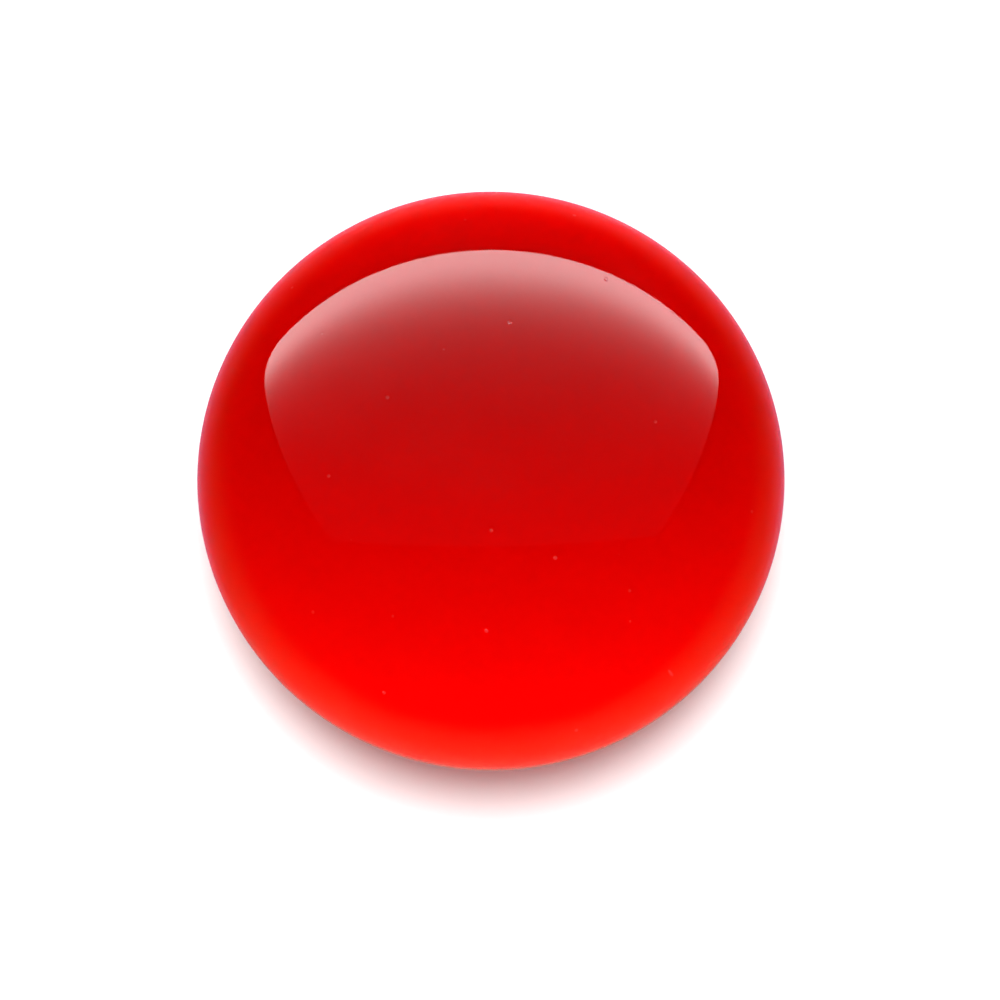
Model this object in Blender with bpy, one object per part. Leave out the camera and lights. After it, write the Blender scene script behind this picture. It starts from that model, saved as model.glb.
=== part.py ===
"""Case opening friction ball: one flattened ball of sticky, clear red gel on a broad flat foot.

The gel is cast in one piece, so the model is one turned solid. Its side is widest at the
waist. Above the waist it is a low crown, and below the waist it tucks in to the flat foot.
Units are metres, +Z is up, and the origin is the centre of the foot.
"""
import math

import bmesh
import bpy

# Driving dimensions
WAIST_DIAMETER = 0.065
WAIST_HEIGHT = 0.0150
CROWN_RISE = 0.0125
FOOT_DIAMETER = 0.051

# How full the two curves are: 2 is an ellipse, and a larger number is closer to a rectangle
CROWN_FULLNESS = 2.04
TUCK_FULLNESS = 2.2

# Facets
FACETS_AROUND = 96
CROWN_STEPS = 14
TUCK_STEPS = 8

GEL_COLOUR = (0.60, 0.005, 0.006, 1.0)
GEL_ROUGHNESS = 0.06
GEL_METALLIC = 0.0


def clear_scene():
    """Remove every object, so that the scene holds this model alone."""
    for thing in list(bpy.data.objects):
        bpy.data.objects.remove(thing, do_unlink=True)


def curve_radius(fraction, fullness):
    """Radius, as a fraction of the waist's, at a fraction of a curve's full rise or drop."""
    return (1.0 - fraction ** fullness) ** (1.0 / fullness)


def tuck_drop():
    """Full drop of the lower curve, which the foot cuts off at the foot's own diameter."""
    foot_fraction = FOOT_DIAMETER / WAIST_DIAMETER
    cut_fraction = curve_radius(foot_fraction, TUCK_FULLNESS)
    return WAIST_HEIGHT / cut_fraction


def crown_outline():
    """Points of the crown, from the top on the axis down to the waist."""
    waist_radius = WAIST_DIAMETER / 2.0
    outline = []
    for step in range(CROWN_STEPS + 1):
        rise_fraction = math.cos(0.5 * math.pi * step / CROWN_STEPS)
        radius = waist_radius * curve_radius(rise_fraction, CROWN_FULLNESS)
        outline.append((radius, WAIST_HEIGHT + CROWN_RISE * rise_fraction))
    return outline


def tuck_outline():
    """Points below the waist, down to the edge of the foot."""
    waist_radius = WAIST_DIAMETER / 2.0
    full_drop = tuck_drop()
    steepest = math.asin(WAIST_HEIGHT / full_drop)
    outline = []
    for step in range(1, TUCK_STEPS + 1):
        drop_fraction = math.sin(steepest * step / TUCK_STEPS)
        radius = waist_radius * curve_radius(drop_fraction, TUCK_FULLNESS)
        outline.append((radius, WAIST_HEIGHT - full_drop * drop_fraction))
    return outline


def gel_material():
    """Glossy, clear red gel."""
    material = bpy.data.materials.new("gel")
    material.use_nodes = True
    shader = material.node_tree.nodes["Principled BSDF"]
    shader.inputs["Base Color"].default_value = GEL_COLOUR
    shader.inputs["Roughness"].default_value = GEL_ROUGHNESS
    shader.inputs["Metallic"].default_value = GEL_METALLIC
    return material


def gel_body():
    """Turn the outline about Z and close it with the flat foot."""
    body = bmesh.new()
    outline = crown_outline() + tuck_outline()
    corners = [body.verts.new((radius, 0.0, height)) for radius, height in outline]
    sides = [body.edges.new(pair) for pair in zip(corners, corners[1:])]
    bmesh.ops.spin(
        body,
        geom=corners + sides,
        cent=(0.0, 0.0, 0.0),
        axis=(0.0, 0.0, 1.0),
        angle=2.0 * math.pi,
        steps=FACETS_AROUND,
    )
    bmesh.ops.remove_doubles(body, verts=body.verts, dist=1e-6)
    foot_edges = [edge for edge in body.edges if edge.is_boundary]
    bmesh.ops.contextual_create(body, geom=foot_edges)
    bmesh.ops.recalc_face_normals(body, faces=body.faces)

    mesh = bpy.data.meshes.new("gel_body")
    body.to_mesh(mesh)
    body.free()
    mesh.materials.append(gel_material())
    mesh.shade_smooth()
    mesh.set_sharp_from_angle(angle=math.radians(30.0))
    thing = bpy.data.objects.new("gel_body", mesh)
    bpy.context.scene.collection.objects.link(thing)
    return thing


clear_scene()
gel_body()
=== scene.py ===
"""Looks of the case opening friction ball: one flattened ball of sticky, clear red gel.

Everything is in metres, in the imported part's frame: +Z up, the centre of the foot at the origin.
Lengths of lights and panels are given in waist radii.
"""
import math

import bmesh
import bpy
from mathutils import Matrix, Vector


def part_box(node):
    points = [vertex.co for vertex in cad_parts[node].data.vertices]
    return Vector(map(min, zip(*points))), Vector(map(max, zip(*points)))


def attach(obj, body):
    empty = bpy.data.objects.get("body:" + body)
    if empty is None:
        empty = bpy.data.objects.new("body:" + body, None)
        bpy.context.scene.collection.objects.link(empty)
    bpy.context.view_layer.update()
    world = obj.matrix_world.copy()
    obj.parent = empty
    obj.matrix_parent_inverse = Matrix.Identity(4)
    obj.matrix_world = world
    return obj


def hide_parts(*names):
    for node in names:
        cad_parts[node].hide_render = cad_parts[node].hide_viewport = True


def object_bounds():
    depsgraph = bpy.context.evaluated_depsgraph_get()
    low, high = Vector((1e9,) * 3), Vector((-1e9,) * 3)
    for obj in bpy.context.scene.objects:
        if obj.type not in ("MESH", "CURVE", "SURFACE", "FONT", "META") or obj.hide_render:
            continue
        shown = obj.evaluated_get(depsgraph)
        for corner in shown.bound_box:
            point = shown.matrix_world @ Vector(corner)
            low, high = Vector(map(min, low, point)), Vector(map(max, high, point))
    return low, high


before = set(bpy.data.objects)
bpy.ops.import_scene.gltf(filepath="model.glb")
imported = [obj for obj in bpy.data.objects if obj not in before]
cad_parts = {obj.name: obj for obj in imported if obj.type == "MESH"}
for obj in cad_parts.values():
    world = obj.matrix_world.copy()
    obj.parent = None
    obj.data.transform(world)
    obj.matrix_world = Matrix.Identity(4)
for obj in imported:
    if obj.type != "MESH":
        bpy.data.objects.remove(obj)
CAD_LOW, CAD_HIGH = [corner.copy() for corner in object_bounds()]
LOW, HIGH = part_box("gel_body")

# The ball's shape, as the CAD part has it. Fullness 2 is an ellipse, and more is squarer.
WAIST_RADIUS = (HIGH[0] - LOW[0]) / 2.0
BALL_HEIGHT = HIGH[2] - LOW[2]
WAIST_HEIGHT = BALL_HEIGHT * 15.0 / 27.5
FOOT_RADIUS = WAIST_RADIUS * 51.0 / 65.0
CROWN_FULLNESS = 2.04
TUCK_FULLNESS = 2.2

# The mesh: the foot's edge is rounded, and no ring lies closer to it than the clearance
FOOT_EDGE = 0.0006
FOOT_EDGE_CLEARANCE = 1.2 * FOOT_EDGE
CROWN_STEPS = 72
TUCK_STEPS = 40
EDGE_STEPS = 6
FOOT_STEPS = 12
STEPS_AROUND = 256

# The gel: deep red, with a painted orange glow towards the thin waist that stands in for light shining
# through the thin gel
GEL_IOR = 1.48
GEL_CLEARNESS = 0.5
DEEP_RED = (1.0, 0.0006, 0.0006, 1.0)
PAINTED_RIM_GLOW_RED = (1.0, 0.023, 0.01, 1.0)
PAINTED_RIM_GLOW_FROM = 0.86
CLOUDY_RED = (0.88, 0.0006, 0.0006, 1.0)
SCATTER_DEPTH = 0.005
SCATTER_SHARES = (1.0, 0.08, 0.04)
CLOUD_SIZE = 0.009
MOST_CLOUD = 0.5

# What the gel takes from each colour per metre is the density times one minus this colour
ABSORPTION_COLOUR = (0.92, 0.2, 0.0, 1.0)
ABSORPTION_DENSITY = 200.0

# Marks on the gel's skin: smears, slight waves, fine dust and one small nick
SMEAR_SIZE = 0.006
CLEAN_ROUGHNESS = 0.02
SMEARED_ROUGHNESS = 0.05
MARK_ROUGHNESS = 0.08
WAVE_SIZE = 0.0045
WAVE_SHARE_OF_BUMP = 0.03
BUMP_STRENGTH = 0.25
BUMP_HEIGHT = 0.0001
PALE_RED = (1.0, 0.3, 0.3, 1.0)
MARK_PALENESS = 0.13
DUST_SPACING = 0.004
DUST_SIZE = 0.00028
NICK_TURN = math.radians(-50.2)
NICK_REACH = 0.919
NICK_LENGTH = 0.00065
NICK_WIDTH = 0.00022
NICK_GRAIN = 0.0006
NICK_RAGGEDNESS = 0.8

# Camera, steeply from above and in front, with the ball a little off the frame's centre
CAMERA_ELEVATION = math.radians(78.5)
CAMERA_DISTANCE = 12.3
BALL_SHARE_OF_FRAME = 0.5854
BALL_OFF_CENTRE = (-0.0088, 0.0213)
SENSOR_WIDTH = 36.0
NEAREST_SEEN = 0.01
FURTHEST_SEEN = 200.0

WHITE = (1.0, 1.0, 1.0, 1.0)

# Softbox above and behind the ball, tilted towards it; its glow fades away from its back edge
SOFTBOX_EDGE = (0.13, 3.5, 2.42)
SOFTBOX_TILT = math.radians(-54.3)
SOFTBOX_HALF_WIDTH = 5.08
SOFTBOX_LENGTH = 7.25
SOFTBOX_CORNER = 0.9
CORNER_STEPS = 12
SOFTBOX_POWER = 7.6
SOFTBOX_FADE = 0.122
SOFTBOX_FADE_STEEPNESS = 3.4
SOFTBOX_REST = 0.003

# Overhead light on the floor: broad, and a little behind the ball
OVERHEAD_POWER = 4.0
OVERHEAD_SPREAD = math.radians(34.0)
OVERHEAD_ELEVATION = math.radians(79.0)
SKY_POWER = 1.35
SKY_COLOUR = (1.0, 0.95, 0.95)
ROOM_POWER = 0.03

# Fill light on the gel, from the front
FILL_POWER = 8.8
FILL_SIZE = (13.0, 2.5)
FILL_DISTANCE = 5.0
FILL_ELEVATION = math.radians(36.0)

# Light from behind that is only seen through the gel
BACK_GLOW_POWER = 3.0
BACK_GLOW_SPREAD = math.radians(80.0)
BACK_GLOW_ELEVATION = math.radians(46.0)

# Low strip of light behind the ball
STRIP_POWER = 24.0
STRIP_COLOUR = (0.6, 0.8, 1.0, 1.0)
STRIP_DISTANCE = 3.0
STRIP_HEIGHT = 1.0
STRIP_HALF_WIDTH = 4.5
STRIP_ABOVE_FLOOR = 0.002

# Floor, and a sheet that glows only in the gel's shine: a painted reflection of the table, tinted pink,
# with painted shade in front of the ball
FLOOR_SIZE = 60.0
FLOOR_COLOUR = (0.9, 0.9, 0.9, 1.0)
FLOOR_ROUGHNESS = 0.9
FLOOR_RISE = 0.00006
TABLE_GLOW = 0.62
# Tints of the painted reflection: pink beside and behind the ball, orange in the painted shade in front
# of it
PAINTED_REFLECTION_TINT = (1.0, 0.5, 0.85, 1.0)
PAINTED_REFLECTION_TINT_IN_FRONT = (1.0, 0.5, 0.42, 1.0)
TABLE_LIGHT_IN_FRONT = 0.8
TABLE_GLOW_REACH = 1.25
TABLE_GLOW_FADE = -2.2
TABLE_GLOW_HEIGHT = -0.0005
TABLE_SHADED_REACH = 0.8


def curve_radius(fraction, fullness):
    return max(0.0, 1.0 - fraction ** fullness) ** (1.0 / fullness)


def crown_outline():
    crown_rise = BALL_HEIGHT - WAIST_HEIGHT
    points = []
    for step in range(CROWN_STEPS + 1):
        rise = math.cos(0.5 * math.pi * step / CROWN_STEPS)
        radius = WAIST_RADIUS * curve_radius(rise, CROWN_FULLNESS)
        points.append(Vector((radius, WAIST_HEIGHT + crown_rise * rise)))
    return points


def tuck_outline():
    cut = curve_radius(FOOT_RADIUS / WAIST_RADIUS, TUCK_FULLNESS)
    drop = WAIST_HEIGHT / cut
    points = []
    for step in range(1, TUCK_STEPS + 1):
        down = math.sin(math.asin(cut) * step / TUCK_STEPS)
        radius = WAIST_RADIUS * curve_radius(down, TUCK_FULLNESS)
        points.append(Vector((radius, WAIST_HEIGHT - drop * down)))
    return points


def foot_outline(last_tuck, corner):
    """The rounded foot edge, then rings across the flat foot to its centre."""
    start = corner + (last_tuck - corner).normalized() * FOOT_EDGE
    end = corner - Vector((FOOT_EDGE, 0.0))
    points = []
    for step in range(EDGE_STEPS + 1):
        t = step / EDGE_STEPS
        points.append(start * (1.0 - t) ** 2 + corner * 2.0 * t * (1.0 - t) + end * t ** 2)
    for step in range(1, FOOT_STEPS + 1):
        points.append(Vector((end.x * (1.0 - step / FOOT_STEPS), 0.0)))
    return points


def outline():
    tuck = tuck_outline()
    corner = tuck.pop()
    while (tuck[-1] - corner).length < FOOT_EDGE_CLEARANCE:
        tuck.pop()
    return crown_outline() + tuck + foot_outline(tuck[-1], corner)


def gel_mesh():
    rings = outline()
    bm = bmesh.new()
    top = bm.verts.new((0.0, 0.0, rings[0].y))
    bottom = bm.verts.new((0.0, 0.0, rings[-1].y))
    grid = []
    for point in rings[1:-1]:
        ring = []
        for step in range(STEPS_AROUND):
            turn = 2.0 * math.pi * step / STEPS_AROUND
            ring.append(bm.verts.new((point.x * math.cos(turn), point.x * math.sin(turn), point.y)))
        grid.append(ring)
    for step in range(STEPS_AROUND):
        after = (step + 1) % STEPS_AROUND
        bm.faces.new((top, grid[0][step], grid[0][after]))
        bm.faces.new((bottom, grid[-1][after], grid[-1][step]))
        for upper, lower in zip(grid, grid[1:]):
            bm.faces.new((upper[step], lower[step], lower[after], upper[after]))
    mesh = bpy.data.meshes.new("gel_skin")
    bm.to_mesh(mesh)
    bm.free()
    mesh.shade_smooth()
    return mesh


class Nodes:
    """Adds nodes to one node tree, each linked or set from the values given."""

    def __init__(self, tree):
        self.tree = tree

    def feed(self, socket, value):
        if isinstance(value, bpy.types.NodeSocket):
            self.tree.links.new(value, socket)
        else:
            socket.default_value = value

    def math(self, operation, first, second=0.0):
        node = self.tree.nodes.new("ShaderNodeMath")
        node.operation = operation
        self.feed(node.inputs[0], first)
        self.feed(node.inputs[1], second)
        return node.outputs[0]

    def vector(self, operation, first, second=(0.0, 0.0, 0.0)):
        node = self.tree.nodes.new("ShaderNodeVectorMath")
        node.operation = operation
        self.feed(node.inputs[0], first)
        self.feed(node.inputs[1], second)
        return node.outputs["Value"] if operation == "LENGTH" else node.outputs["Vector"]

    def place(self):
        return self.tree.nodes.new("ShaderNodeTexCoord").outputs["Object"]

    def ramp(self, value, start, end, low=0.0, high=1.0):
        node = self.tree.nodes.new("ShaderNodeMapRange")
        node.interpolation_type = "SMOOTHSTEP"
        for name, number in (("From Min", start), ("From Max", end), ("To Min", low), ("To Max", high)):
            node.inputs[name].default_value = number
        self.feed(node.inputs["Value"], value)
        return node.outputs["Result"]

    def noise(self, size, detail):
        node = self.tree.nodes.new("ShaderNodeTexNoise")
        node.inputs["Scale"].default_value = 1.0 / size
        node.inputs["Detail"].default_value = detail
        self.feed(node.inputs["Vector"], self.place())
        return node.outputs["Fac"]

    def mix(self, share, first, second):
        node = self.tree.nodes.new("ShaderNodeMix")
        node.data_type = "RGBA"
        self.feed(node.inputs["Factor"], share)
        self.feed(node.inputs["A"], first)
        self.feed(node.inputs["B"], second)
        return node.outputs["Result"]


def new_material(name):
    material = bpy.data.materials.new(name)
    material.use_nodes = True
    return material, Nodes(material.node_tree), material.node_tree.nodes["Principled BSDF"]


def dust(nodes):
    """Share of each point covered by fine dust stuck to the gel."""
    cells = nodes.tree.nodes.new("ShaderNodeTexVoronoi")
    cells.inputs["Scale"].default_value = 1.0 / DUST_SPACING
    nodes.feed(cells.inputs["Vector"], nodes.place())
    reach = DUST_SIZE / DUST_SPACING
    return nodes.ramp(cells.outputs["Distance"], 0.5 * reach, reach, 1.0, 0.0)


def nick(nodes):
    """Share of a small nick in the crown, near the front right of the waist."""
    reach = NICK_REACH * WAIST_RADIUS
    rise = curve_radius(NICK_REACH, CROWN_FULLNESS)
    height = WAIST_HEIGHT + (BALL_HEIGHT - WAIST_HEIGHT) * rise
    centre = (reach * math.cos(NICK_TURN), reach * math.sin(NICK_TURN), height)
    local = nodes.tree.nodes.new("ShaderNodeMapping")
    local.vector_type = "TEXTURE"
    local.inputs["Location"].default_value = centre
    local.inputs["Rotation"].default_value = (0.0, 0.0, NICK_TURN)
    local.inputs["Scale"].default_value = (NICK_LENGTH, NICK_WIDTH, NICK_LENGTH)
    nodes.feed(local.inputs["Vector"], nodes.place())
    ragged = nodes.math("MULTIPLY", nodes.noise(NICK_GRAIN, 1.0), NICK_RAGGEDNESS)
    away = nodes.math("ADD", nodes.vector("LENGTH", local.outputs[0]), ragged)
    return nodes.ramp(away, 0.8, 1.6, 1.0, 0.0)


def gel_material():
    material, nodes, shader = new_material("red_gel")
    shader.inputs["IOR"].default_value = GEL_IOR
    shader.inputs["Transmission Weight"].default_value = GEL_CLEARNESS
    shader.inputs["Subsurface Weight"].default_value = 1.0
    shader.inputs["Subsurface Radius"].default_value = SCATTER_SHARES
    shader.inputs["Subsurface Scale"].default_value = SCATTER_DEPTH

    from_axis = nodes.vector("LENGTH", nodes.vector("MULTIPLY", nodes.place(), (1.0, 1.0, 0.0)))
    # Painted light: the base colour turns orange towards the waist, as if lit through the thin gel
    painted_rim_glow = nodes.ramp(from_axis, PAINTED_RIM_GLOW_FROM * WAIST_RADIUS, WAIST_RADIUS)
    cloud = nodes.ramp(nodes.noise(CLOUD_SIZE, 3.0), 0.3, 0.7, 0.0, MOST_CLOUD)
    red = nodes.mix(painted_rim_glow, nodes.mix(cloud, DEEP_RED, CLOUDY_RED), PAINTED_RIM_GLOW_RED)
    marks = nodes.math("MAXIMUM", dust(nodes), nick(nodes))
    marked = nodes.mix(nodes.math("MULTIPLY", marks, MARK_PALENESS), red, PALE_RED)
    nodes.feed(shader.inputs["Base Color"], marked)

    smear = nodes.ramp(nodes.noise(SMEAR_SIZE, 4.0), 0.35, 0.75, CLEAN_ROUGHNESS, SMEARED_ROUGHNESS)
    rougher = nodes.math("MULTIPLY", marks, MARK_ROUGHNESS)
    nodes.feed(shader.inputs["Roughness"], nodes.math("ADD", smear, rougher))

    bump = nodes.tree.nodes.new("ShaderNodeBump")
    bump.inputs["Strength"].default_value = BUMP_STRENGTH
    bump.inputs["Distance"].default_value = BUMP_HEIGHT
    skin = nodes.math("MULTIPLY", nodes.noise(WAVE_SIZE, 2.0), WAVE_SHARE_OF_BUMP)
    nodes.feed(bump.inputs["Height"], nodes.math("ADD", skin, nodes.math("MULTIPLY", marks, -1.0)))
    nodes.feed(shader.inputs["Normal"], bump.outputs["Normal"])

    absorb = nodes.tree.nodes.new("ShaderNodeVolumeAbsorption")
    absorb.inputs["Color"].default_value = ABSORPTION_COLOUR
    absorb.inputs["Density"].default_value = ABSORPTION_DENSITY
    nodes.feed(nodes.tree.nodes["Material Output"].inputs["Volume"], absorb.outputs["Volume"])
    return material


def gel_ball():
    ball = bpy.data.objects.new("gel_skin", gel_mesh())
    bpy.context.scene.collection.objects.link(ball)
    ball.data.materials.append(gel_material())
    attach(ball, "root")
    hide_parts("gel_body")
    return ball


def stage_sheet(name, corners, material):
    mesh = bpy.data.meshes.new(name)
    mesh.from_pydata([tuple(corner) for corner in corners], [], [range(len(corners))])
    sheet = bpy.data.objects.new(name, mesh)
    bpy.context.scene.collection.objects.link(sheet)
    mesh.materials.append(material)
    return sheet


def floor_corners(height):
    return [(-FLOOR_SIZE, -FLOOR_SIZE, height), (FLOOR_SIZE, -FLOOR_SIZE, height),
            (FLOOR_SIZE, FLOOR_SIZE, height), (-FLOOR_SIZE, FLOOR_SIZE, height)]


def floor():
    """White floor. It reaches just above the foot, because the sticky gel wets what it stands on."""
    material, nodes, shader = new_material("paper")
    shader.inputs["Base Color"].default_value = FLOOR_COLOUR
    shader.inputs["Roughness"].default_value = FLOOR_ROUGHNESS
    shader.inputs["Specular IOR Level"].default_value = 0.0
    sheet = stage_sheet("floor", floor_corners(FLOOR_RISE), material)
    sheet.visible_glossy = False
    return sheet


def glow_material(name, colour, make_strength):
    material = bpy.data.materials.new(name)
    material.use_nodes = True
    nodes = Nodes(material.node_tree)
    nodes.tree.nodes.clear()
    glow = nodes.tree.nodes.new("ShaderNodeEmission")
    glow.inputs["Color"].default_value = colour
    nodes.feed(glow.inputs["Strength"], make_strength(nodes))
    output = nodes.tree.nodes.new("ShaderNodeOutputMaterial")
    nodes.feed(output.inputs["Surface"], glow.outputs[0])
    return material


def only_in_shine(sheet):
    sheet.visible_camera = False
    sheet.visible_diffuse = False
    sheet.visible_transmission = False
    sheet.visible_shadow = False


def lights_only(lamp, receiver):
    group = bpy.data.collections.new(lamp.name + "_lights")
    group.objects.link(receiver)
    lamp.light_linking.receiver_collection = group


def table_openness(nodes):
    """One beside and behind the ball, nought in front of it: the painted shade of the ball in the
    table's painted reflection.
    """
    split = nodes.tree.nodes.new("ShaderNodeSeparateXYZ")
    nodes.feed(split.inputs[0], nodes.place())
    return nodes.ramp(split.outputs["Y"], -TABLE_SHADED_REACH * WAIST_RADIUS, 0.0)


def table_strength(nodes):
    """Fades away from the ball, and is weaker in front of it."""
    away = nodes.math("DIVIDE", nodes.vector("LENGTH", nodes.place()), TABLE_GLOW_REACH * WAIST_RADIUS)
    open_table = nodes.math("MINIMUM", nodes.math("POWER", away, TABLE_GLOW_FADE), TABLE_GLOW)
    light = nodes.ramp(table_openness(nodes), 0.0, 1.0, TABLE_LIGHT_IN_FRONT, 1.0)
    return nodes.math("MULTIPLY", open_table, light)


def table_in_shine():
    """Painted reflection of the white table: a sheet seen only in the gel's shine, bright beside the
    ball, dark further off.
    """
    material = glow_material("table_glow", PAINTED_REFLECTION_TINT, table_strength)
    nodes = Nodes(material.node_tree)
    colour = nodes.mix(table_openness(nodes), PAINTED_REFLECTION_TINT_IN_FRONT, PAINTED_REFLECTION_TINT)
    nodes.feed(nodes.tree.nodes["Emission"].inputs["Color"], colour)
    only_in_shine(stage_sheet("table_in_shine", floor_corners(TABLE_GLOW_HEIGHT), material))


def softbox_strength(nodes):
    split = nodes.tree.nodes.new("ShaderNodeSeparateXYZ")
    nodes.feed(split.inputs[0], nodes.place())
    depth = nodes.math("DIVIDE", split.outputs["Y"], -SOFTBOX_FADE * SOFTBOX_LENGTH * WAIST_RADIUS)
    steep = nodes.math("POWER", depth, SOFTBOX_FADE_STEEPNESS)
    fade = nodes.math("DIVIDE", 1.0, nodes.math("ADD", steep, 1.0))
    return nodes.math("MULTIPLY", nodes.math("ADD", fade, SOFTBOX_REST), SOFTBOX_POWER)


def softbox_corners():
    """The softbox in its own plane, back edge first, with that edge's corners rounded."""
    half, length, corner = [
        size * WAIST_RADIUS for size in (SOFTBOX_HALF_WIDTH, SOFTBOX_LENGTH, SOFTBOX_CORNER)
    ]
    corners = [(-half, -length, 0.0), (half, -length, 0.0)]
    for step in range(CORNER_STEPS + 1):
        turn = 0.5 * math.pi * step / CORNER_STEPS
        corners.append((half - corner * (1.0 - math.cos(turn)), -corner * (1.0 - math.sin(turn)), 0.0))
    for step in range(CORNER_STEPS + 1):
        turn = 0.5 * math.pi * (1.0 - step / CORNER_STEPS)
        corners.append((-half + corner * (1.0 - math.cos(turn)), -corner * (1.0 - math.sin(turn)), 0.0))
    return corners


def softbox():
    material = glow_material("softbox_glow", WHITE, softbox_strength)
    sheet = stage_sheet("softbox", softbox_corners(), material)
    sheet.location = Vector(SOFTBOX_EDGE) * WAIST_RADIUS
    sheet.rotation_euler.x = SOFTBOX_TILT
    only_in_shine(sheet)


def back_strip(receiver):
    """Low strip of light behind the ball, like the bounce from a bright table."""
    half, away, top = [size * WAIST_RADIUS for size in (STRIP_HALF_WIDTH, STRIP_DISTANCE, STRIP_HEIGHT)]
    bottom = STRIP_ABOVE_FLOOR
    corners = [(-half, away, bottom), (half, away, bottom), (half, away, top), (-half, away, top)]
    material = glow_material("strip_glow", STRIP_COLOUR, lambda nodes: STRIP_POWER)
    strip = stage_sheet("back_strip", corners, material)
    strip.visible_camera = False
    strip.visible_glossy = False
    strip.visible_transmission = False
    strip.visible_shadow = False
    lights_only(strip, receiver)


def add_lamp(name, data, towards, receiver):
    lamp = bpy.data.objects.new(name, data)
    bpy.context.scene.collection.objects.link(lamp)
    lamp.rotation_mode = "QUATERNION"
    lamp.rotation_quaternion = towards.to_track_quat("Z", "Y")
    lamp.visible_glossy = False
    lamp.visible_camera = False
    lights_only(lamp, receiver)
    return lamp


def overhead(receiver):
    data = bpy.data.lights.new("overhead", "SUN")
    data.energy = OVERHEAD_POWER
    data.angle = OVERHEAD_SPREAD
    towards = Vector((0.0, math.cos(OVERHEAD_ELEVATION), math.sin(OVERHEAD_ELEVATION)))
    add_lamp("overhead", data, towards, receiver)


def sky(receiver):
    data = bpy.data.lights.new("sky", "SUN")
    data.energy = SKY_POWER
    data.color = SKY_COLOUR
    data.angle = math.pi
    add_lamp("sky", data, Vector((0.0, 0.0, 1.0)), receiver)


def back_glow(receiver):
    """Light from behind that is seen through the gel but does not light its skin."""
    data = bpy.data.lights.new("back_glow", "SUN")
    data.energy = BACK_GLOW_POWER
    data.angle = BACK_GLOW_SPREAD
    towards = Vector((0.0, math.cos(BACK_GLOW_ELEVATION), math.sin(BACK_GLOW_ELEVATION)))
    lamp = add_lamp("back_glow", data, towards, receiver)
    lamp.visible_diffuse = False


def fill(receiver):
    data = bpy.data.lights.new("fill", "AREA")
    data.shape = "RECTANGLE"
    data.size = FILL_SIZE[0] * WAIST_RADIUS
    data.size_y = FILL_SIZE[1] * WAIST_RADIUS
    data.energy = FILL_POWER * math.pi * data.size * data.size_y
    towards = Vector((0.0, -math.cos(FILL_ELEVATION), math.sin(FILL_ELEVATION)))
    lamp = add_lamp("fill", data, towards, receiver)
    lamp.visible_transmission = False
    lamp.location = Vector((0.0, 0.0, WAIST_HEIGHT)) + towards * FILL_DISTANCE * WAIST_RADIUS


def room():
    """A pale room to look at, which gives the ball and floor only a little light."""
    world = bpy.data.worlds.new("room")
    bpy.context.scene.world = world
    world.use_nodes = True
    nodes = Nodes(world.node_tree)
    seen = nodes.tree.nodes.new("ShaderNodeLightPath").outputs["Is Camera Ray"]
    strength = nodes.math("ADD", nodes.math("MULTIPLY", seen, 1.0 - ROOM_POWER), ROOM_POWER)
    background = nodes.tree.nodes["Background"]
    background.inputs["Color"].default_value = WHITE
    nodes.feed(background.inputs["Strength"], strength)
    world.cycles_visibility.glossy = False


def camera():
    data = bpy.data.cameras.new("camera")
    thing = bpy.data.objects.new("camera", data)
    bpy.context.scene.collection.objects.link(thing)
    bpy.context.scene.camera = thing
    centre = Vector((0.0, 0.0, BALL_HEIGHT / 2.0))
    back = Vector((0.0, -math.cos(CAMERA_ELEVATION), math.sin(CAMERA_ELEVATION)))
    up = Vector((0.0, math.sin(CAMERA_ELEVATION), math.cos(CAMERA_ELEVATION)))
    right = Vector((1.0, 0.0, 0.0))
    frame_width = 2.0 * WAIST_RADIUS / BALL_SHARE_OF_FRAME
    distance = CAMERA_DISTANCE * WAIST_RADIUS
    thing.location = centre + back * distance
    aim = centre - right * BALL_OFF_CENTRE[0] * frame_width - up * BALL_OFF_CENTRE[1] * frame_width
    thing.rotation_mode = "QUATERNION"
    thing.rotation_quaternion = (aim - thing.location).to_track_quat("-Z", "Y")
    data.sensor_width = SENSOR_WIDTH
    data.lens = SENSOR_WIDTH * distance / frame_width
    data.clip_start = NEAREST_SEEN
    data.clip_end = FURTHEST_SEEN


ball = gel_ball()
paper = floor()
table_in_shine()
softbox()
overhead(paper)
sky(paper)
fill(ball)
back_glow(ball)
back_strip(ball)
room()
camera()
bpy.context.scene.view_settings.view_transform = "Standard"
